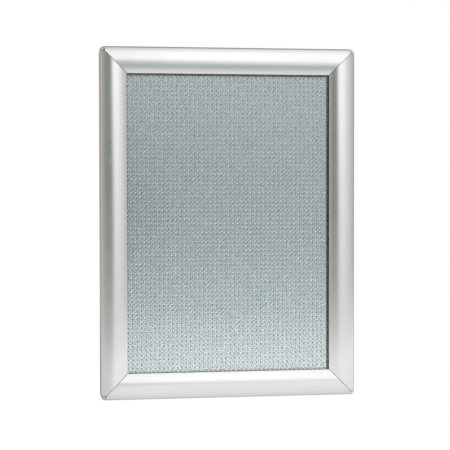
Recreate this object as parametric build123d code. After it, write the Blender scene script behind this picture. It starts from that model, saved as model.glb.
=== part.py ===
from build123d import *
import math
import os

os.makedirs("parts", exist_ok=True)

# A4 poster frame with four hinged flaps that snap open.
# The back of the frame lies in the plane Y = 0 and its front faces -Y, with +Z up and +X to the right.
# The origin is the centre of the back, which is also the centre of the wall screws' pattern.
# Every section is drawn in two coordinates: in from the outer face of the frame, and out from the wall.

# Driving dimensions, in millimetres
poster_width = 210.0
poster_height = 297.0
poster_margin = 15.5
profile_width = 25.0
crown_rise = 1.3

# Fits and clearances
running_clearance = 0.08
seat_clearance = 0.08
flap_clearance = 0.3
sheet_clearance = 1.0
slot_clearance = 0.1
key_clearance = 0.05
peg_clearance = 0.15
mitre_gap = 0.28
tip_gap = 0.6

# Base extrusion
wall = 1.2
flange_wall = 0.8
rib_thickness = 0.8
rib_inset = 4.0
nose_length = 0.6
nose_thickness = 0.4
hinge_wall_rise = 1.3
riser_step = 1.5
riser_thickness = 1.0
ledge_length = 8.0
bead_radius = 1.35
neck_thickness = 0.9
neck_angle = 250.0
spring_step_length = 0.45
base_edge_radius = 0.4
hinge_wall_radius = 1.0

# Corner key
key_width = 7.0
key_thickness = 1.5
key_arm = 28.0
key_chamfer = 1.2

# Flap extrusion
hook_wall = 1.37
hinge_setback = 0.1
hook_start_angle = -84.0
hook_end_angle = 137.0
shoulder_inner_angle = 70.0
face_radius = 34.0
face_wall = 1.3
lip_thickness = 1.2
lip_radius = 0.4
heel_radius = 3.6
heel_half_width = 0.9
heel_lip = 0.15
heel_root_overlap = 0.2
heel_closed_side_angle = 64.0
heel_open_side_angle = 78.0
face_inner_angle = 45.0
swing = 90.0

# Snap spring
spring_thickness = 0.4
spring_width = 20.0
spring_bow = 0.4
long_side_spring_share = 0.45
short_side_spring_share = 0.36

# Corner tip
tip_side = 4.4
tip_inset = 0.5
tip_drop = 2.2
tip_corner_radius = 3.7
tip_top_radius = 1.6
peg_length = 6.5

# Sheets
panel_thickness = 1.2
panel_clearance = 0.3
insert_shortfall = 12.7
insert_thickness = 0.5
insert_edge_gap = 0.1
cover_thickness = 0.5

# Wall screws
screw_hole_radius = 2.25
screw_spacing_z = 230.0

# Worked out from the sizes above
outer_width = poster_width + 2 * poster_margin
outer_height = poster_height + 2 * poster_margin
corner_cut = tip_side + tip_gap
overrun = profile_width

# Heights of the base section, from the wall outwards
key_bottom = wall + key_clearance
key_top = key_bottom + key_thickness
nose_bottom = key_top + key_clearance
rib_top = nose_bottom + nose_thickness
shelf_bottom = rib_top - flange_wall
slot_top = rib_top + panel_thickness + 2 * slot_clearance
ledge_top = slot_top + flange_wall
insert_top = ledge_top + insert_thickness
cover_top = insert_top + cover_thickness
lip_bottom = cover_top + flap_clearance
hinge_wall_top = rib_top + hinge_wall_rise
hook_inner_radius = bead_radius + running_clearance
hook_outer_radius = hook_inner_radius + hook_wall
hinge_out = hinge_wall_top + flap_clearance + hook_outer_radius
frame_depth = hinge_out + hook_outer_radius + crown_rise
tip_height = frame_depth - tip_drop

# Distances in from the outer face
hinge_in = hinge_setback + hook_outer_radius
channel_start = rib_inset + rib_thickness
key_start = channel_start + key_clearance
key_end = key_start + key_width
channel_end = key_end + key_clearance
stop_face = channel_end + riser_step
stop_end = stop_face + riser_thickness
screw_in = (channel_start + channel_end) / 2

# Spring seats: one in the step beside the riser, one in the heel of the flap
spring_radius = spring_thickness / 2
seat_distance = spring_radius + seat_clearance
seat_in = stop_face - seat_distance
seat_out = (rib_top + ledge_top) / 2 - seat_clearance
seat_angle = math.degrees(math.atan2(seat_out - hinge_out, seat_in - hinge_in))
heel_angle = seat_angle - swing / 2


def polar(centre, radius, angle):
    """The point at a distance and an angle in degrees from a centre."""
    turn = math.radians(angle)
    return (centre[0] + radius * math.cos(turn), centre[1] + radius * math.sin(turn))


def disc(centre, radius):
    """A filled circle in the section's plane."""
    return Pos(*centre) * Circle(radius)


def block(low, high):
    """A rectangle in the section's plane, from its lowest to its highest corner."""
    middle = ((low[0] + high[0]) / 2, (low[1] + high[1]) / 2)
    return Pos(*middle) * Rectangle(high[0] - low[0], high[1] - low[1])


def outline(*points):
    """A polygon in the section's plane."""
    return make_face(Polyline(*points, close=True))


def wedge(apex, reach, angles):
    """A fan of triangles from its apex, with its far corners at the given angles."""
    return outline(apex, *[polar(apex, reach, angle) for angle in angles])


hinge = (hinge_in, hinge_out)
seat = (seat_in, seat_out)
heel = polar(hinge, heel_radius, heel_angle)
heel_open = polar(hinge, heel_radius, heel_angle + swing)


def side_length(side):
    """The outer length of a side."""
    return outer_width if side in ("top", "bottom") else outer_height


def side_plane(side):
    """The plane of a side's section at its middle: X runs in from the outer face, Y runs out from the wall."""
    half_width = outer_width / 2
    half_height = outer_height / 2
    planes = {
        "top": Plane(origin=(0, 0, half_height), x_dir=(0, 0, -1), z_dir=(-1, 0, 0)),
        "bottom": Plane(origin=(0, 0, -half_height), x_dir=(0, 0, 1), z_dir=(1, 0, 0)),
        "left": Plane(origin=(-half_width, 0, 0), x_dir=(1, 0, 0), z_dir=(0, 0, -1)),
        "right": Plane(origin=(half_width, 0, 0), x_dir=(-1, 0, 0), z_dir=(0, 0, 1)),
    }
    return planes[side]


def bar(section, length):
    """A section drawn out to a length, half of it to each side of the section's plane."""
    return extrude(section, amount=length / 2, both=True)


def mitred(section, side, corner):
    """A section drawn out along a side, mitred at both ends and cropped square over the outer corner."""
    half = side_length(side) / 2
    inner = profile_width + mitre_gap
    plan = [
        (-overrun, half - corner),
        (corner - mitre_gap, half - corner),
        (inner, half - inner - mitre_gap),
    ]
    mirrored = [(point[0], -point[1]) for point in reversed(plan)]
    face = Plane(origin=(0, 0, 0), x_dir=(1, 0, 0), z_dir=(0, -1, 0)) * outline(*plan, *mirrored)
    keep = extrude(face, amount=frame_depth + overrun, both=True)
    return bar(section, 2 * half) & keep


def base_section():
    """Back web, hinge wall with its bead, key channel, panel slot, ledge and sheet stop, as one face."""
    neck_foot_reach = (hinge_out - hinge_wall_top) / -math.sin(math.radians(neck_angle))
    neck_foot = polar(hinge, neck_foot_reach, neck_angle)
    across = polar((0, 0), neck_thickness / 2, neck_angle + 90)
    down = polar((0, 0), flange_wall / 2, neck_angle)
    foot = (neck_foot[0] + down[0], neck_foot[1] + down[1])
    neck = outline(
        (hinge[0] + across[0], hinge[1] + across[1]),
        (hinge[0] - across[0], hinge[1] - across[1]),
        (foot[0] - across[0], foot[1] - across[1]),
        (foot[0] + across[0], foot[1] + across[1]),
    )
    flange_end = neck_foot[0] + neck_thickness / 2
    parts = [
        block((0, 0), (channel_end + rib_thickness, wall)),
        block((0, 0), (wall, hinge_wall_top)),
        block((0, hinge_wall_top - flange_wall), (flange_end, hinge_wall_top)),
        disc(hinge, bead_radius),
        block((rib_inset, 0), (channel_start, rib_top)),
        block((rib_inset, nose_bottom), (channel_start + nose_length, rib_top)),
        block((channel_end, 0), (channel_end + rib_thickness, rib_top)),
        block((channel_end - nose_length, nose_bottom), (channel_end + rib_thickness, rib_top)),
        block((channel_end, shelf_bottom), (stop_end + ledge_length, rib_top)),
        block((stop_face - spring_step_length, shelf_bottom), (stop_end, seat_out - seat_distance)),
        block((stop_face, shelf_bottom), (stop_end, cover_top)),
        block((stop_face, slot_top), (stop_end + ledge_length, ledge_top)),
    ]
    section = neck
    for part in parts:
        section = section + part
    back_corner = min(section.vertices(), key=lambda v: math.hypot(v.X, v.Y))
    section = fillet(back_corner, base_edge_radius)
    hinge_corner = min(section.vertices(), key=lambda v: math.hypot(v.X, v.Y - hinge_wall_top))
    return fillet(hinge_corner, hinge_wall_radius)


def base_profile(side):
    """One side's base extrusion, with its two screw holes on the long sides."""
    profile = mitred(base_section(), side, corner_cut)
    if side in ("left", "right"):
        for place in (-screw_spacing_z / 2, screw_spacing_z / 2):
            drill = Cylinder(screw_hole_radius, 2 * wall, rotation=(90, 0, 0))
            profile = profile - Pos(screw_in, wall / 2, place) * drill
    return profile


def hook_section():
    """The C of the hinge with the heel that the snap springs push on."""
    ring = disc(hinge, hook_outer_radius) - disc(hinge, hook_inner_radius)
    mouth_angle = (hook_end_angle + hook_start_angle + 360) / 2
    ring = ring - wedge(
        hinge, 2 * hook_outer_radius, (hook_end_angle, mouth_angle, hook_start_angle + 360)
    )
    root = hook_outer_radius - heel_root_overlap
    end = heel_radius + heel_lip
    middle = polar(hinge, (root + end) / 2, heel_angle)
    lug = Pos(*middle) * Rectangle(end - root, 2 * heel_half_width, rotation=heel_angle)
    half_opening = (heel_closed_side_angle + heel_open_side_angle) / 2
    bisector = heel_angle + (heel_closed_side_angle - heel_open_side_angle) / 2
    apex = polar(heel, seat_distance / math.sin(math.radians(half_opening)), bisector + 180)
    groove = wedge(apex, 2 * end, (bisector - half_opening, bisector, bisector + half_opening))
    return (ring + lug) - groove


def face_section():
    """The rounded front of a flap, from the shoulder over the hinge to the lip at the window."""
    face_out = frame_depth - face_radius
    rise = hinge_out - face_out
    face_in = hinge_in + math.sqrt((face_radius - hook_outer_radius) ** 2 - rise**2)
    centre = (face_in, face_out)
    tangent_angle = math.degrees(math.atan2(rise, hinge_in - face_in))
    band = disc(centre, face_radius) - disc(centre, face_radius - face_wall)
    fan = wedge(centre, 2 * face_radius, (tangent_angle, face_inner_angle))
    band = band & fan & block((-overrun, 0), (profile_width, frame_depth + overrun))
    leg = block((profile_width - lip_thickness, lip_bottom), (profile_width, frame_depth))
    leg = leg & disc(centre, face_radius - face_wall / 2)
    shoulder = disc(hinge, hook_outer_radius) - disc(hinge, hook_inner_radius)
    shoulder = shoulder & wedge(
        hinge,
        2 * hook_outer_radius,
        (shoulder_inner_angle, (shoulder_inner_angle + hook_end_angle) / 2, hook_end_angle),
    )
    section = band + leg + shoulder
    corner_out = face_out + math.sqrt(face_radius**2 - (profile_width - face_in) ** 2)
    corner = min(
        section.vertices(), key=lambda v: math.hypot(v.X - profile_width, v.Y - corner_out)
    )
    return fillet(corner, lip_radius)


def flap(side):
    """One side's flap: the front mitred to its neighbours, the hook cropped clear of the mitre's plane."""
    front = mitred(face_section(), side, corner_cut)
    hook_crop = hinge_in + math.hypot(heel_radius + heel_lip, heel_half_width) + 2 * flap_clearance
    hook = bar(hook_section(), side_length(side) - 2 * hook_crop)
    return front + hook


def snap_spring():
    """A strip of spring steel between the seat on the base and the heel of the flap, bowed to the wall."""
    chord = math.hypot(seat[0] - heel[0], seat[1] - heel[1])
    bow_radius = (chord**2 / 4 + spring_bow**2) / (2 * spring_bow)
    chord_angle = math.degrees(math.atan2(seat[1] - heel[1], seat[0] - heel[0]))
    middle = ((seat[0] + heel[0]) / 2, (seat[1] + heel[1]) / 2)
    centre = polar(middle, bow_radius - spring_bow, chord_angle + 90)
    strip = disc(centre, bow_radius + spring_radius) - disc(centre, bow_radius - spring_radius)
    strip = strip & outline(centre, *[spring_edge(centre, end, bow_radius) for end in (heel, seat)])
    strip = strip + disc(heel, spring_radius) + disc(seat, spring_radius)
    return bar(strip, spring_width)


def spring_edge(centre, end, bow_radius):
    """A point well outside the bow, in line with its centre and one end of the strip."""
    angle = math.degrees(math.atan2(end[1] - centre[1], end[0] - centre[0]))
    return polar(centre, 2 * bow_radius, angle)


def spring_places(side):
    """Where the two springs of a side stand along it, from its middle."""
    share = short_side_spring_share if side in ("top", "bottom") else long_side_spring_share
    reach = share * side_length(side) / 2
    return (-reach, reach)


def at_corner(shape, vertical, lateral):
    """Moves a piece drawn at the lower left corner, X and Z inwards from it, to one of the four corners."""
    moved = Pos(-outer_width / 2, 0, -outer_height / 2) * shape
    if lateral == "right":
        moved = mirror(moved, about=Plane.YZ)
    if vertical == "top":
        moved = mirror(moved, about=Plane.XY)
    return moved


def plate(plan, near, far):
    """A plan in the plane of the wall drawn out between two distances from the wall."""
    facing = Plane(origin=(0, -near, 0), x_dir=(1, 0, 0), z_dir=(0, -1, 0))
    return extrude(facing * plan, amount=far - near)


def corner_key():
    """An L of steel that lies in the key channels of two base extrusions."""
    end = key_start + key_arm
    plan = block((key_start, key_start), (end, key_end)) + block((key_start, key_start), (key_end, end))
    corner = min(plan.vertices(), key=lambda v: math.hypot(v.X - key_start, v.Y - key_start))
    return plate(chamfer(corner, key_chamfer), key_bottom, key_top)


def corner_tip():
    """A post with a rounded outer edge and top, and a peg into the hinge wall's channel on each side."""
    post = plate(block((tip_inset, tip_inset), (tip_side, tip_side)), 0, tip_height)
    outer_edge = post.edges().filter_by(Axis.Y).sort_by(Axis.X)[:2].sort_by(Axis.Z)[0]
    post = fillet(outer_edge, tip_corner_radius)
    front = post.faces().sort_by(Axis.Y)[0]
    rim = [edge for edge in front.edges() if min(edge.center().X, edge.center().Z) < tip_side / 2]
    post = fillet(rim, tip_top_radius)
    peg_low = (wall + peg_clearance, tip_side - peg_clearance)
    peg_high = (rib_inset - peg_clearance, tip_side + peg_length)
    upright = plate(block(peg_low, peg_high), wall + peg_clearance, rib_top)
    level = plate(block(peg_low[::-1], peg_high[::-1]), wall + peg_clearance, rib_top)
    return post + upright + level


def back_panel():
    """The black sheet in the slots of the four base extrusions."""
    margin = stop_end + panel_clearance
    width = outer_width - 2 * margin
    height = outer_height - 2 * margin
    near = rib_top + slot_clearance
    return plate(Rectangle(width, height), near, near + panel_thickness)


def textured_insert():
    """The pale dotted sheet, a little small for the frame, which has settled into the lower left corner."""
    side_stop = outer_width / 2 - stop_end
    foot_stop = outer_height / 2 - stop_end
    low = (insert_edge_gap - side_stop, insert_edge_gap - foot_stop)
    high = (side_stop + insert_edge_gap - insert_shortfall, foot_stop + insert_edge_gap - insert_shortfall)
    return plate(block(low, high), ledge_top, insert_top)


def cover_sheet():
    """The clear sheet that the four lips hold over the insert."""
    margin = stop_end + sheet_clearance
    plan = Rectangle(outer_width - 2 * margin, outer_height - 2 * margin)
    return plate(plan, insert_top, cover_top)


def save(shape, node):
    """Writes one piece under its node's name."""
    export_step(shape.solid(), "parts/" + node + ".step")


for side in ("top", "bottom", "left", "right"):
    plane = side_plane(side)
    save(plane * base_profile(side), "base_profile_" + side)
    save(plane * flap(side), "flap_" + side)
    for number, place in enumerate(spring_places(side), start=1):
        save(plane * (Pos(0, 0, place) * snap_spring()), "snap_spring_" + side + "_" + str(number))

for vertical in ("top", "bottom"):
    for lateral in ("left", "right"):
        corner = vertical + "_" + lateral
        save(at_corner(corner_key(), vertical, lateral), "corner_key_" + corner)
        save(at_corner(corner_tip(), vertical, lateral), "corner_tip_" + corner)

save(back_panel(), "back_panel")
save(textured_insert(), "textured_insert")
save(cover_sheet(), "cover_sheet")

closed_angle = math.degrees(math.atan2(heel[1] - seat[1], heel[0] - seat[0]))
open_angle = math.degrees(math.atan2(heel_open[1] - seat[1], heel_open[0] - seat[0]))
print("outer size", outer_width, outer_height, frame_depth)
print("hinge, in and out", hinge)
print("spring seat, in and out", seat, "heel shut", heel, "heel open", heel_open)
print("spring turn over the flap's swing", open_angle - closed_angle)
print("screw holes, in from the outer face", screw_in, "heights of panel slot", rib_top, slot_top)
print("sheets, out from the wall", ledge_top, insert_top, cover_top, lip_bottom)
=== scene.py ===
import math

import bpy
import numpy as np
from mathutils import Matrix, Vector


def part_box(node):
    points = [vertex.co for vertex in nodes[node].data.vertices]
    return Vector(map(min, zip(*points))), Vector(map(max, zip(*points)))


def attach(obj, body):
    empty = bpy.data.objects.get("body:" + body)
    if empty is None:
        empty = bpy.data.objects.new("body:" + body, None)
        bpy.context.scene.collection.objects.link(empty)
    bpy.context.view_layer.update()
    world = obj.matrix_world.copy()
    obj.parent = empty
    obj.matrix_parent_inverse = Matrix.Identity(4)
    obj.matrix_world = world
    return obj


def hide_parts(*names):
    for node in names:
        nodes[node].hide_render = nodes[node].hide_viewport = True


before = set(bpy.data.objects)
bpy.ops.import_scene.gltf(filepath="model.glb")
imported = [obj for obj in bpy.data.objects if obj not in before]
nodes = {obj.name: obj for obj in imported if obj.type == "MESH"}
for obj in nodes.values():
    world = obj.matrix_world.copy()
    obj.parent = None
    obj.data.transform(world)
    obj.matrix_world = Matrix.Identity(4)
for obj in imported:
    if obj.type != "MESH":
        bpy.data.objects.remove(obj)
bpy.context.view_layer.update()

# Camera
# A long lens 1.3 m from the wall, to the left of the frame's middle and a little above it.
camera_place = Vector((-0.206356, -1.289106, 0.036656))
camera_yaw = 0.15676663
camera_pitch = -0.02954
camera_roll = -0.00166521
camera = bpy.data.objects.new("camera", bpy.data.cameras.new("camera"))
bpy.context.scene.collection.objects.link(camera)
camera.data.lens = 111.06
camera.data.sensor_width = 36.0
camera.data.clip_start = 0.05
camera.data.clip_end = 50.0
camera.matrix_world = (
    Matrix.Translation(camera_place)
    @ Matrix.Rotation(-camera_yaw, 4, "Z")
    @ Matrix.Rotation(math.pi / 2 + camera_pitch, 4, "X")
    @ Matrix.Rotation(camera_roll, 4, "Z")
)
bpy.context.scene.camera = camera
bpy.context.scene.view_settings.view_transform = "Standard"


# Studio floor
# Pale paper below the frame. It takes the frame's shadow, and the camera sees it a little lighter than it
# is lit.
floor_height = -0.32
floor_near, floor_far = -1.5, 0.34
floor_half = 1.6
paper_colour = (0.86, 0.87, 0.87)
paper_glow = 0.3


def grid_mesh(name, points):
    """A mesh through a grid of points, rows by columns by 3, with a quad between each four neighbours."""
    rows, columns = points.shape[:2]
    index = np.arange(rows * columns).reshape(rows, columns)
    quads = np.stack((index[:-1, :-1], index[:-1, 1:], index[1:, 1:], index[1:, :-1]), axis=-1).reshape(-1, 4)
    mesh = bpy.data.meshes.new(name)
    mesh.from_pydata(points.reshape(-1, 3).tolist(), [], quads.tolist())
    mesh.update()
    piece = bpy.data.objects.new(name, mesh)
    bpy.context.scene.collection.objects.link(piece)
    return piece


def empty_material(name):
    """A new material with nothing in its tree, and that tree."""
    material = bpy.data.materials.new(name)
    material.use_nodes = True
    material.node_tree.nodes.clear()
    return material, material.node_tree


floor = grid_mesh("floor", np.array(
    [[(x, y, floor_height) for x in (-floor_half, floor_half)] for y in (floor_near, floor_far)]
))
floor_material, tree = empty_material("floor_paper")
paper = tree.nodes.new("ShaderNodeBsdfDiffuse")
paper.inputs["Color"].default_value = (*paper_colour, 1.0)
glow = tree.nodes.new("ShaderNodeEmission")
glow.inputs["Strength"].default_value = paper_glow
path = tree.nodes.new("ShaderNodeLightPath")
both = tree.nodes.new("ShaderNodeAddShader")
mix = tree.nodes.new("ShaderNodeMixShader")
out = tree.nodes.new("ShaderNodeOutputMaterial")
tree.links.new(paper.outputs["BSDF"], both.inputs[0])
tree.links.new(glow.outputs["Emission"], both.inputs[1])
tree.links.new(path.outputs["Is Camera Ray"], mix.inputs["Fac"])
tree.links.new(paper.outputs["BSDF"], mix.inputs[1])
tree.links.new(both.outputs["Shader"], mix.inputs[2])
tree.links.new(mix.outputs["Shader"], out.inputs["Surface"])
floor.data.materials.append(floor_material)
floor.visible_glossy = False


# Reflected room
# What only reflections see: a dome with a broad softbox ahead and to the right, a pale wall, a dark place
# behind the lens and a dim lower half, a white board just under the frame, and a veil of light over it.
room_reach = 5.0
room_columns, room_rows = 181, 121
room_light = (0.53, 0.51, 0.46)
wall_light = (0.87, 0.87, 0.87)
softbox_light = (1.33, 1.33, 1.33)
lower_light = (0.42, 0.49, 0.43)
side_light = (0.42, 0.42, 0.42)
dark_light = (0.205, 0.238, 0.210)
lens_light = (0.10, 0.12, 0.10)
lens_share = 0.5
far_light = (0.34, 0.34, 0.33)
# An edge of a light is its middle and its width, in degrees to the right of straight ahead or up from level.
wall_left, wall_right, wall_top = (1.0, 5.0), (120.0, 60.0), (54.0, 16.0)
softbox_left, softbox_right = (-7.0, 9.0), (21.0, 34.0)
softbox_bottom, softbox_top = (3.6, 4.0), (33.0, 5.0)
lower_top = (-6.1, 7.0)
side_left = (38.0, 40.0)
dark_left, dark_bottom, dark_top = (-24.6, 22.0), (-4.4, 3.0), (48.0, 20.0)
dark_right, dark_right_width, dark_bulge = -0.8, 7.0, 4.2
lens_elevation, lens_spread = -0.8, 3.2
far_side, far_up = (95.0, 40.0), (58.0, 18.0)


def soft_step(value, middle, width):
    """0 below a soft edge and 1 above it. Over its width it climbs as 3s^2 - 2s^3, with s from 0 to 1."""
    share = np.clip((value - middle) / width + 0.5, 0.0, 1.0)
    return share * share * (3.0 - 2.0 * share)


def soft_band(value, start, end):
    """1 between two soft edges and 0 outside them."""
    return soft_step(value, *start) * (1 - soft_step(value, *end))


def laid_over(colours, light, mask):
    """A light laid over part of the room, as far as its mask says."""
    return colours + mask[..., None] * (np.array(light) - colours)


def reflected_only(piece, colours, veil=False):
    """Gives a stage piece a glow of its own at each point, and hides it from the eye and from soft light.
    A veil adds its glow to what stands behind it."""
    layer = piece.data.color_attributes.new("glow", "FLOAT_COLOR", "POINT")
    flat = colours.reshape(-1, 3)
    layer.data.foreach_set("color", np.column_stack((flat, np.ones(len(flat)))).ravel())
    material, tree = empty_material(piece.name + "_glow")
    stored = tree.nodes.new("ShaderNodeAttribute")
    stored.attribute_name = "glow"
    glow = tree.nodes.new("ShaderNodeEmission")
    out = tree.nodes.new("ShaderNodeOutputMaterial")
    tree.links.new(stored.outputs["Color"], glow.inputs["Color"])
    shader = glow.outputs["Emission"]
    if veil:
        clear = tree.nodes.new("ShaderNodeBsdfTransparent")
        both = tree.nodes.new("ShaderNodeAddShader")
        tree.links.new(shader, both.inputs[0])
        tree.links.new(clear.outputs["BSDF"], both.inputs[1])
        shader = both.outputs["Shader"]
    tree.links.new(shader, out.inputs["Surface"])
    piece.data.materials.append(material)
    piece.visible_camera = False
    piece.visible_diffuse = False
    piece.visible_shadow = False


# The dome is a sphere: azimuth turns about the upright through the origin, and elevation climbs from level.
azimuth = np.linspace(-180.0, 180.0, room_columns)[None, :]
elevation = np.linspace(-90.0, 90.0, room_rows)[:, None]
lens_height = np.exp(-((elevation - lens_elevation) / lens_spread) ** 2)
pale_wall = soft_band(azimuth, wall_left, wall_right) * (1 - soft_step(elevation, *wall_top))
softbox = soft_band(azimuth, softbox_left, softbox_right) * soft_band(elevation, softbox_bottom, softbox_top)
lower_half = 1 - soft_step(elevation, *lower_top)
side_wall = soft_step(azimuth, *side_left)
dark_edge = (dark_right + dark_bulge * lens_height, dark_right_width)
dark_place = soft_band(azimuth, dark_left, dark_edge) * soft_band(elevation, dark_bottom, dark_top)
far_round = np.maximum(soft_step(np.abs(azimuth), *far_side), soft_step(elevation, *far_up))
room_colours = np.ones((room_rows, room_columns, 1)) * np.array(room_light)
for light, mask in (
    (wall_light, pale_wall),
    (softbox_light, softbox),
    (lower_light, lower_half),
    (side_light, side_wall),
    (dark_light, dark_place),
    (lens_light, lens_share * dark_place * lens_height),
    (far_light, far_round),
):
    room_colours = laid_over(room_colours, light, mask)
turn, climb = np.radians(azimuth), np.radians(elevation)
room = grid_mesh("room", room_reach * np.stack(np.broadcast_arrays(
    np.cos(climb) * np.sin(turn), -np.cos(climb) * np.cos(turn), np.sin(climb)
), axis=-1))
reflected_only(room, room_colours)

# The board's glow falls away from the wall, with a dark line at the wall and a lighter stripe in front of it.
board_height = -0.172
board_depth = 0.78
board_half = 1.0
board_steps = 101
board_light = 0.66
near_light, near_reach = 0.30, 0.35
line_shade, line_reach = 0.92, 0.014
stripe_light, stripe_place, stripe_spread = 0.3, 0.30, 0.12
behind_light = 0.08
left_share = 0.76
left_end = (-0.12, 0.08)
spacing = np.linspace(-1.0, 1.0, board_steps)
reach = board_depth * spacing * np.abs(spacing)
across = board_half * spacing
board_glow = (
    board_light
    + near_light * np.exp(-np.abs(reach) / near_reach)
    - line_shade * np.exp(-np.abs(reach) / line_reach)
    + stripe_light * np.exp(-((reach - stripe_place) / stripe_spread) ** 2)
)
board_glow = np.where(reach > 0, board_glow, behind_light)[:, None]
board_glow = board_glow * (left_share + (1 - left_share) * soft_step(across, *left_end))
board_places = np.broadcast_arrays(across[None, :], -reach[:, None], board_height)
board = grid_mesh("board", np.stack(board_places, axis=-1))
reflected_only(board, board_glow[:, :, None] * np.ones(3))

# The veil lies along the board and then stands up. Only what is behind the clear cover mirrors it.
veil_low = board_height + 0.0005
veil_top = 0.6
veil_near, veil_reach = 0.02, 0.9
veil_half = 1.2
veil_steps = 60
veil_light = 1.2
veil_start, veil_end = (0.03, 0.04), (0.70, 0.40)
veil_path = np.concatenate((
    np.column_stack((np.linspace(veil_near, veil_reach, veil_steps), np.full(veil_steps, veil_low))),
    np.column_stack((np.full(veil_steps, veil_reach), np.linspace(veil_low, veil_top, veil_steps + 1)[1:])),
))
veil_glow = veil_light * soft_step(veil_path[:, 0], *veil_start)
veil_glow = veil_glow * (1 - soft_step(veil_path.sum(axis=1), *veil_end))
veil_sides = np.array([-veil_half, veil_half])[None, :]
veil_places = np.broadcast_arrays(veil_sides, -veil_path[:, :1], veil_path[:, 1:])
veil = grid_mesh("veil", np.stack(veil_places, axis=-1))
reflected_only(veil, veil_glow[:, None, None] * np.ones((1, 2, 3)), veil=True)
veil.visible_glossy = False


# Studio light
# White all round for the eye, in reflections and through glass, a plain grey-white light on the surfaces, and
# two soft lamps.
ambient_light = 0.45
key_place, key_size, key_power, key_cone = (0.62, -0.47, 0.60), (0.25, 0.25), 4.7, 180.0
low_place, low_size, low_power, low_cone = (0.01, -0.12, -0.20), (0.24, 0.05), 0.11, 124.0
world = bpy.data.worlds.new("white_sweep")
bpy.context.scene.world = world
world.use_nodes = True
tree = world.node_tree
tree.nodes.clear()
path = tree.nodes.new("ShaderNodeLightPath")
seen = tree.nodes.new("ShaderNodeMath")
seen.operation = "MAXIMUM"
shown = tree.nodes.new("ShaderNodeMath")
shown.operation = "MAXIMUM"
ambient = tree.nodes.new("ShaderNodeBackground")
ambient.inputs["Color"].default_value = (1.0, 1.0, 1.0, 1.0)
ambient.inputs["Strength"].default_value = ambient_light
white = tree.nodes.new("ShaderNodeBackground")
white.inputs["Color"].default_value = (1.0, 1.0, 1.0, 1.0)
mix = tree.nodes.new("ShaderNodeMixShader")
out = tree.nodes.new("ShaderNodeOutputWorld")
tree.links.new(path.outputs["Is Camera Ray"], seen.inputs[0])
tree.links.new(path.outputs["Is Glossy Ray"], seen.inputs[1])
tree.links.new(seen.outputs["Value"], shown.inputs[0])
tree.links.new(path.outputs["Is Transmission Ray"], shown.inputs[1])
tree.links.new(shown.outputs["Value"], mix.inputs["Fac"])
tree.links.new(ambient.outputs["Background"], mix.inputs[1])
tree.links.new(white.outputs["Background"], mix.inputs[2])
tree.links.new(mix.outputs["Shader"], out.inputs["Surface"])


def lamp(name, place, size, power, cone):
    """A soft lamp that faces the origin and shows in no reflection. Its light fades out to nothing at the
    edge of a cone, given in degrees."""
    light = bpy.data.lights.new(name, "AREA")
    light.shape = "RECTANGLE"
    light.size, light.size_y = size
    light.energy = power
    light.spread = math.radians(cone)
    piece = bpy.data.objects.new(name, light)
    bpy.context.scene.collection.objects.link(piece)
    facing = (-Vector(place)).to_track_quat("-Z", "Y")
    piece.matrix_world = Matrix.Translation(place) @ facing.to_matrix().to_4x4()
    piece.visible_glossy = False
    piece.visible_transmission = False
    piece.visible_camera = False


lamp("key_lamp", key_place, key_size, key_power, key_cone)
lamp("low_lamp", low_place, low_size, low_power, low_cone)


# Flaps and base extrusions
# Aluminium 6063 pushed through a die, satin anodised in natural silver. The die leaves fine lines along each
# bar, and the saw that cuts the mitres leaves arcs across their ends.
aluminium_colour = (0.86, 0.86, 0.86)
line_shade_share = 0.97
line_scale, along_scale = 3500.0, 4.0
line_shade_range = (0.3, 0.7)
grit_scale, grit_share = 2600.0, 0.35
cloud_scale = 60.0
satin_roughness = (0.19, 0.24)
saw_scale, saw_wobble = 700.0, 1.5
sawn_facing = 0.3
sawn_roughness = 0.34
grain_strength, grain_depth = 0.06, 0.0001


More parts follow.
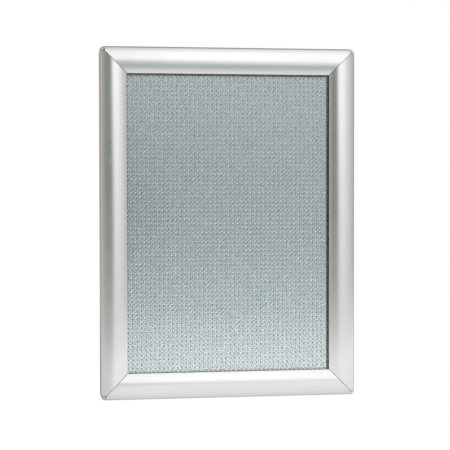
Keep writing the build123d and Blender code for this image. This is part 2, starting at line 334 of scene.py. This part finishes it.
def extrusion_grain():
    """Node group: fine lines along one direction and a soft cloud, from a vector that is already stretched
    that way, and the saw's marks where a face looks along the bar."""
    group = bpy.data.node_groups.new("extrusion_grain", "ShaderNodeTree")
    group.interface.new_socket("Along", in_out="INPUT", socket_type="NodeSocketVector")
    group.interface.new_socket("Place", in_out="INPUT", socket_type="NodeSocketVector")
    group.interface.new_socket("Lengthwise", in_out="INPUT", socket_type="NodeSocketFloat")
    group.interface.new_socket("Height", in_out="OUTPUT", socket_type="NodeSocketFloat")
    group.interface.new_socket("Rough", in_out="OUTPUT", socket_type="NodeSocketFloat")
    group.interface.new_socket("Shade", in_out="OUTPUT", socket_type="NodeSocketFloat")
    inputs = group.nodes.new("NodeGroupInput")
    outputs = group.nodes.new("NodeGroupOutput")
    lines = group.nodes.new("ShaderNodeTexNoise")
    lines.inputs["Scale"].default_value = 1.0
    lines.inputs["Detail"].default_value = 3.0
    cloud = group.nodes.new("ShaderNodeTexNoise")
    cloud.inputs["Scale"].default_value = cloud_scale
    cloud.inputs["Detail"].default_value = 2.0
    grit = group.nodes.new("ShaderNodeTexNoise")
    grit.inputs["Scale"].default_value = grit_scale
    grit.inputs["Detail"].default_value = 1.0
    height = group.nodes.new("ShaderNodeMath")
    height.operation = "MULTIPLY_ADD"
    height.inputs[1].default_value = grit_share
    saw = group.nodes.new("ShaderNodeTexWave")
    saw.wave_type = "RINGS"
    saw.rings_direction = "Y"
    saw.inputs["Scale"].default_value = saw_scale
    saw.inputs["Distortion"].default_value = saw_wobble
    cut = group.nodes.new("ShaderNodeMath")
    cut.operation = "GREATER_THAN"
    cut.inputs[1].default_value = sawn_facing
    level = group.nodes.new("ShaderNodeMath")
    level.operation = "ABSOLUTE"
    relief = group.nodes.new("ShaderNodeMix")
    relief.data_type = "FLOAT"
    satin = group.nodes.new("ShaderNodeMapRange")
    satin.inputs["To Min"].default_value = satin_roughness[0]
    satin.inputs["To Max"].default_value = satin_roughness[1]
    rough = group.nodes.new("ShaderNodeMix")
    rough.data_type = "FLOAT"
    rough.inputs[3].default_value = sawn_roughness
    shade = group.nodes.new("ShaderNodeMapRange")
    shade.inputs["From Min"].default_value = line_shade_range[0]
    shade.inputs["From Max"].default_value = line_shade_range[1]
    link = group.links.new
    link(inputs.outputs["Along"], lines.inputs["Vector"])
    link(inputs.outputs["Place"], cloud.inputs["Vector"])
    link(inputs.outputs["Place"], grit.inputs["Vector"])
    link(inputs.outputs["Place"], saw.inputs["Vector"])
    link(inputs.outputs["Lengthwise"], level.inputs[0])
    link(level.outputs["Value"], cut.inputs[0])
    link(grit.outputs["Fac"], height.inputs[0])
    link(lines.outputs["Fac"], height.inputs[2])
    link(cut.outputs["Value"], relief.inputs[0])
    link(height.outputs["Value"], relief.inputs[2])
    link(saw.outputs["Fac"], relief.inputs[3])
    link(relief.outputs[0], outputs.inputs["Height"])
    link(cloud.outputs["Fac"], satin.inputs["Value"])
    link(cut.outputs["Value"], rough.inputs[0])
    link(satin.outputs["Result"], rough.inputs[2])
    link(rough.outputs[0], outputs.inputs["Rough"])
    link(lines.outputs["Fac"], shade.inputs["Value"])
    link(shade.outputs["Result"], outputs.inputs["Shade"])
    return group


grain = extrusion_grain()


def satin_aluminium(name, line_scales, lengthwise):
    """Satin anodised aluminium whose die lines run along the axis that lengthwise names, which has the
    smallest scale."""
    material, tree = empty_material(name)
    place = tree.nodes.new("ShaderNodeTexCoord")
    stretch = tree.nodes.new("ShaderNodeMapping")
    stretch.inputs["Scale"].default_value = line_scales
    facing = tree.nodes.new("ShaderNodeSeparateXYZ")
    marks = tree.nodes.new("ShaderNodeGroup")
    marks.node_tree = grain
    tone = tree.nodes.new("ShaderNodeMix")
    tone.data_type = "RGBA"
    tone.inputs[6].default_value = (*[line_shade_share * c for c in aluminium_colour], 1.0)
    tone.inputs[7].default_value = (*aluminium_colour, 1.0)
    bump = tree.nodes.new("ShaderNodeBump")
    bump.inputs["Strength"].default_value = grain_strength
    bump.inputs["Distance"].default_value = grain_depth
    metal = tree.nodes.new("ShaderNodeBsdfPrincipled")
    metal.inputs["Metallic"].default_value = 1.0
    out = tree.nodes.new("ShaderNodeOutputMaterial")
    link = tree.links.new
    link(place.outputs["Object"], stretch.inputs["Vector"])
    link(place.outputs["Normal"], facing.inputs["Vector"])
    link(facing.outputs[lengthwise], marks.inputs["Lengthwise"])
    link(stretch.outputs["Vector"], marks.inputs["Along"])
    link(place.outputs["Object"], marks.inputs["Place"])
    link(marks.outputs["Shade"], tone.inputs[0])
    link(tone.outputs[2], metal.inputs["Base Color"])
    link(marks.outputs["Rough"], metal.inputs["Roughness"])
    link(marks.outputs["Height"], bump.inputs["Height"])
    link(bump.outputs["Normal"], metal.inputs["Normal"])
    link(metal.outputs["BSDF"], out.inputs["Surface"])
    return material


level_aluminium = satin_aluminium("satin_aluminium_level", (along_scale, line_scale, line_scale), "X")
upright_aluminium = satin_aluminium("satin_aluminium_upright", (line_scale, line_scale, along_scale), "Z")
for side in ("top", "bottom", "left", "right"):
    metal = level_aluminium if side in ("top", "bottom") else upright_aluminium
    for node in ("flap_" + side, "base_profile_" + side):
        nodes[node].material_slots[0].material = metal


# Corner tips
# Light grey moulded plastic, pushed into the hinge wall's channel at each outer corner.
tip_colour = (0.66, 0.67, 0.67)
tip_roughness = 0.35
tip_gloss = 0.5
tip_skin_scale = 1800.0
skin_shade_share = 0.92
skin_strength, skin_depth = 0.3, 0.0001


def moulded_plastic(name, colour, roughness, gloss, skin_scale):
    """An opaque plastic with the fine sandy skin of its mould."""
    material, tree = empty_material(name)
    place = tree.nodes.new("ShaderNodeTexCoord")
    skin = tree.nodes.new("ShaderNodeTexNoise")
    skin.inputs["Scale"].default_value = skin_scale
    skin.inputs["Detail"].default_value = 4.0
    tone = tree.nodes.new("ShaderNodeMix")
    tone.data_type = "RGBA"
    tone.inputs[6].default_value = (*[skin_shade_share * c for c in colour], 1.0)
    tone.inputs[7].default_value = (*colour, 1.0)
    bump = tree.nodes.new("ShaderNodeBump")
    bump.inputs["Strength"].default_value = skin_strength
    bump.inputs["Distance"].default_value = skin_depth
    plastic = tree.nodes.new("ShaderNodeBsdfPrincipled")
    plastic.inputs["Roughness"].default_value = roughness
    plastic.inputs["Specular IOR Level"].default_value = gloss
    out = tree.nodes.new("ShaderNodeOutputMaterial")
    link = tree.links.new
    link(place.outputs["Object"], skin.inputs["Vector"])
    link(skin.outputs["Fac"], tone.inputs[0])
    link(tone.outputs[2], plastic.inputs["Base Color"])
    link(skin.outputs["Fac"], bump.inputs["Height"])
    link(bump.outputs["Normal"], plastic.inputs["Normal"])
    link(plastic.outputs["BSDF"], out.inputs["Surface"])
    return material


tip_plastic = moulded_plastic("tip_plastic", tip_colour, tip_roughness, tip_gloss, tip_skin_scale)
for corner in ("top_left", "top_right", "bottom_left", "bottom_right"):
    nodes["corner_tip_" + corner].material_slots[0].material = tip_plastic


# Back panel
# A polystyrene sheet that slides in the slots of the base extrusions. Its near-black colour is painted shade:
# it shows in the strip beside the insert under the top and right lips and makes that strip as dark as a
# shaded gap.
panel_shade_black = (0.012, 0.012, 0.013)
panel_roughness = 0.5
panel_gloss = 0.25
panel_skin_scale = 900.0
shade_black_plastic = moulded_plastic("shade_black_plastic", panel_shade_black, panel_roughness, panel_gloss, panel_skin_scale)
nodes["back_panel"].material_slots[0].material = shade_black_plastic


# Dotted insert
# A pale blue-grey sheet with a pearly silver face. A press has embossed it with level ovals that have a
# dimple, and with a slanted drop-shaped ridge between each four of them.
dot_pitch = 0.004165
dot_column = -0.00408
dot_row = 0.0276
oval_shift_shares = (-0.05, 0.32)
oval_shape = {
    "outline": (0.00088, 0.00128), "lean": 0.0, "height": 0.00030,
    "crest": 0.6, "lift": 0.0001, "dimple": 0.7, "sides": 8,
}
ridge_shift_shares = (0.355, -0.20)
ridge_shape = {
    "outline": (0.00169, 0.00065), "lean": 27.0, "height": 0.00024,
    "crest": 0.4, "lift": -0.0008, "dimple": 1.0, "sides": 6,
}
# The ground between the dots is painted darker as shade and the crests paler as highlight, over the sheet's
# own blue-grey.
shaded_ground_colour = (0.106, 0.186, 0.190)
lit_crest_colour = (0.44, 0.53, 0.54)
pearl_roughness = 0.24
pearl_ior = 2.2
press_grain_scale, press_grain_strength, press_grain_depth = 3000.0, 0.3, 0.00003
sheet_low, sheet_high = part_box("textured_insert")
sheet_front = sheet_low.y + oval_shape["height"]


def embossed_dots(centres, outline, lean, height, crest, lift, dimple, sides):
    """A closed lens at each centre: an oval foot, a crest ring that is the foot scaled down, and a point in
    the ring's middle. outline gives half the foot's height and half its width before it leans, and lean its
    turn to the left in degrees. crest is the ring's share of the foot, and dimple the point's share of the
    height. lift is how far ring and point move up the foot, or down it where it is below zero."""
    turn = np.linspace(0, 2 * np.pi, sides, endpoint=False)
    tilt = math.radians(lean)
    axes = np.array([[-math.sin(tilt), math.cos(tilt)], [math.cos(tilt), math.sin(tilt)]])
    oval = np.stack((outline[0] * np.cos(turn), -outline[1] * np.sin(turn)), axis=-1) @ axes
    middle = lift * axes[:1]
    plan = np.concatenate((oval, crest * oval + middle, middle))
    level = np.concatenate((np.zeros(sides), np.ones(sides), [dimple])) * height
    points = np.empty((len(centres), 2 * sides + 1, 3))
    points[:, :, 0] = centres[:, None, 0] + plan[None, :, 0]
    points[:, :, 1] = sheet_front - level[None, :]
    points[:, :, 2] = centres[:, None, 1] + plan[None, :, 1]
    ring = np.arange(sides)
    following = np.roll(ring, -1)
    skirt = np.stack((ring, following, following + sides, ring + sides), axis=-1)
    top = np.stack((ring + sides, following + sides, np.full(sides, 2 * sides)), axis=-1)
    foot = ring[::-1][None, :]
    shift = (np.arange(len(centres)) * (2 * sides + 1))[:, None, None]
    skirts, tops, feet = ((part + shift).reshape(-1, part.shape[1]).tolist() for part in (skirt, top, foot))
    return points.reshape(-1, 3), skirts + tops, feet


def lattice(shift_shares, margin):
    """The points of a square lattice, moved by shares of its pitch, that lie a margin inside the sheet."""
    start = np.array((dot_column, dot_row)) + dot_pitch * np.array(shift_shares)
    low = (np.array((sheet_low.x, sheet_low.z)) + margin - start) / dot_pitch
    high = (np.array((sheet_high.x, sheet_high.z)) - margin - start) / dot_pitch
    x = np.arange(math.ceil(low[0]), math.floor(high[0]) + 1) * dot_pitch + start[0]
    z = np.arange(math.ceil(low[1]), math.floor(high[1]) + 1) * dot_pitch + start[1]
    return np.stack(np.meshgrid(x, z), axis=-1).reshape(-1, 2)


def moved_on(faces, count):
    """The same faces for points that come after a count of others."""
    return [[point + count for point in face] for face in faces]


oval_places = lattice(oval_shift_shares, max(oval_shape["outline"]))
ridge_places = lattice(ridge_shift_shares, max(ridge_shape["outline"]))
ovals, oval_raised, oval_feet = embossed_dots(oval_places, **oval_shape)
ridges, ridge_raised, ridge_feet = embossed_dots(ridge_places, **ridge_shape)
slab = np.array([
    (x, y, z)
    for x in (sheet_low.x, sheet_high.x)
    for y in (sheet_front, sheet_high.y)
    for z in (sheet_low.z, sheet_high.z)
])
slab_faces = [(0, 1, 3, 2), (4, 6, 7, 5), (0, 4, 5, 1), (2, 3, 7, 6), (0, 2, 6, 4), (1, 5, 7, 3)]
before_ovals, before_ridges = len(slab), len(slab) + len(ovals)
flat_faces = slab_faces + moved_on(oval_feet, before_ovals) + moved_on(ridge_feet, before_ridges)
round_faces = moved_on(oval_raised, before_ovals) + moved_on(ridge_raised, before_ridges)
mesh = bpy.data.meshes.new("dotted_insert")
mesh.from_pydata(np.concatenate((slab, ovals, ridges)).tolist(), [], flat_faces + round_faces)
mesh.polygons.foreach_set("use_smooth", np.arange(len(mesh.polygons)) >= len(flat_faces))
mesh.update()
insert = bpy.data.objects.new("dotted_insert", mesh)
bpy.context.scene.collection.objects.link(insert)


def pearly_sheet(name):
    """A pearly plastic, paler on the dots' crests and darker in the ground between them, with a faint grain.
    The paler crests are painted highlight and the darker ground is painted shade, over the sheet's own
    blue-grey.
    """
    material, tree = empty_material(name)
    place = tree.nodes.new("ShaderNodeTexCoord")
    axes = tree.nodes.new("ShaderNodeSeparateXYZ")
    height = tree.nodes.new("ShaderNodeMapRange")
    height.inputs["From Min"].default_value = sheet_front
    height.inputs["From Max"].default_value = sheet_low.y
    skin = tree.nodes.new("ShaderNodeTexNoise")
    skin.inputs["Scale"].default_value = press_grain_scale
    skin.inputs["Detail"].default_value = 3.0
    tone = tree.nodes.new("ShaderNodeMix")
    tone.data_type = "RGBA"
    tone.inputs[6].default_value = (*shaded_ground_colour, 1.0)
    tone.inputs[7].default_value = (*lit_crest_colour, 1.0)
    bump = tree.nodes.new("ShaderNodeBump")
    bump.inputs["Strength"].default_value = press_grain_strength
    bump.inputs["Distance"].default_value = press_grain_depth
    pearl = tree.nodes.new("ShaderNodeBsdfPrincipled")
    pearl.inputs["Roughness"].default_value = pearl_roughness
    pearl.inputs["IOR"].default_value = pearl_ior
    pearl.inputs["Specular IOR Level"].default_value = 1.0
    out = tree.nodes.new("ShaderNodeOutputMaterial")
    link = tree.links.new
    link(place.outputs["Object"], axes.inputs["Vector"])
    link(axes.outputs["Y"], height.inputs["Value"])
    link(height.outputs["Result"], tone.inputs[0])
    link(tone.outputs[2], pearl.inputs["Base Color"])
    link(place.outputs["Object"], skin.inputs["Vector"])
    link(skin.outputs["Fac"], bump.inputs["Height"])
    link(bump.outputs["Normal"], pearl.inputs["Normal"])
    link(pearl.outputs["BSDF"], out.inputs["Surface"])
    return material


mesh.materials.append(pearly_sheet("pearly_insert"))
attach(insert, "frame")
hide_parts("textured_insert")


# Cover sheet
# Clear polyester, half a millimetre thick, with a finish that takes the glare off. The flaps' lips press it
# on the insert.
clear_colour = (0.98, 0.99, 0.99)
clear_roughness = 0.06
clear_ior = 1.5
clear_gloss = 0.04
clear_material, tree = empty_material("clear_polyester")
path = tree.nodes.new("ShaderNodeLightPath")
unseen = tree.nodes.new("ShaderNodeMath")
unseen.operation = "MAXIMUM"
glass = tree.nodes.new("ShaderNodeBsdfPrincipled")
glass.inputs["Base Color"].default_value = (*clear_colour, 1.0)
glass.inputs["Roughness"].default_value = clear_roughness
glass.inputs["IOR"].default_value = clear_ior
glass.inputs["Specular IOR Level"].default_value = clear_gloss
glass.inputs["Transmission Weight"].default_value = 1.0
gap = tree.nodes.new("ShaderNodeBsdfTransparent")
mix = tree.nodes.new("ShaderNodeMixShader")
out = tree.nodes.new("ShaderNodeOutputMaterial")
tree.links.new(path.outputs["Is Shadow Ray"], unseen.inputs[0])
tree.links.new(path.outputs["Is Diffuse Ray"], unseen.inputs[1])
tree.links.new(unseen.outputs["Value"], mix.inputs["Fac"])
tree.links.new(glass.outputs["BSDF"], mix.inputs[1])
tree.links.new(gap.outputs["BSDF"], mix.inputs[2])
tree.links.new(mix.outputs["Shader"], out.inputs["Surface"])
nodes["cover_sheet"].material_slots[0].material = clear_material


# Corner keys and snap springs
# Zinc-plated steel keys in the channels, and bowed strips of blued spring steel.
zinc_colour, zinc_roughness = (0.72, 0.73, 0.70), 0.35
blued_colour, blued_roughness = (0.35, 0.37, 0.42), 0.28
mottle_scale, mottle_shade_share = 400.0, 0.7


def steel(name, colour, roughness):
    """Rolled steel with a faint mottled plating."""
    material, tree = empty_material(name)
    place = tree.nodes.new("ShaderNodeTexCoord")
    mottle = tree.nodes.new("ShaderNodeTexNoise")
    mottle.inputs["Scale"].default_value = mottle_scale
    mottle.inputs["Detail"].default_value = 5.0
    tone = tree.nodes.new("ShaderNodeMix")
    tone.data_type = "RGBA"
    tone.inputs[6].default_value = (*[mottle_shade_share * c for c in colour], 1.0)
    tone.inputs[7].default_value = (*colour, 1.0)
    metal = tree.nodes.new("ShaderNodeBsdfPrincipled")
    metal.inputs["Metallic"].default_value = 1.0
    metal.inputs["Roughness"].default_value = roughness
    out = tree.nodes.new("ShaderNodeOutputMaterial")
    tree.links.new(place.outputs["Object"], mottle.inputs["Vector"])
    tree.links.new(mottle.outputs["Fac"], tone.inputs[0])
    tree.links.new(tone.outputs[2], metal.inputs["Base Color"])
    tree.links.new(metal.outputs["BSDF"], out.inputs["Surface"])
    return material


key_steel = steel("zinc_plated_steel", zinc_colour, zinc_roughness)
spring_steel = steel("spring_steel", blued_colour, blued_roughness)
for node, piece in nodes.items():
    if node.startswith("corner_key_"):
        piece.material_slots[0].material = key_steel
    if node.startswith("snap_spring_"):
        piece.material_slots[0].material = spring_steel
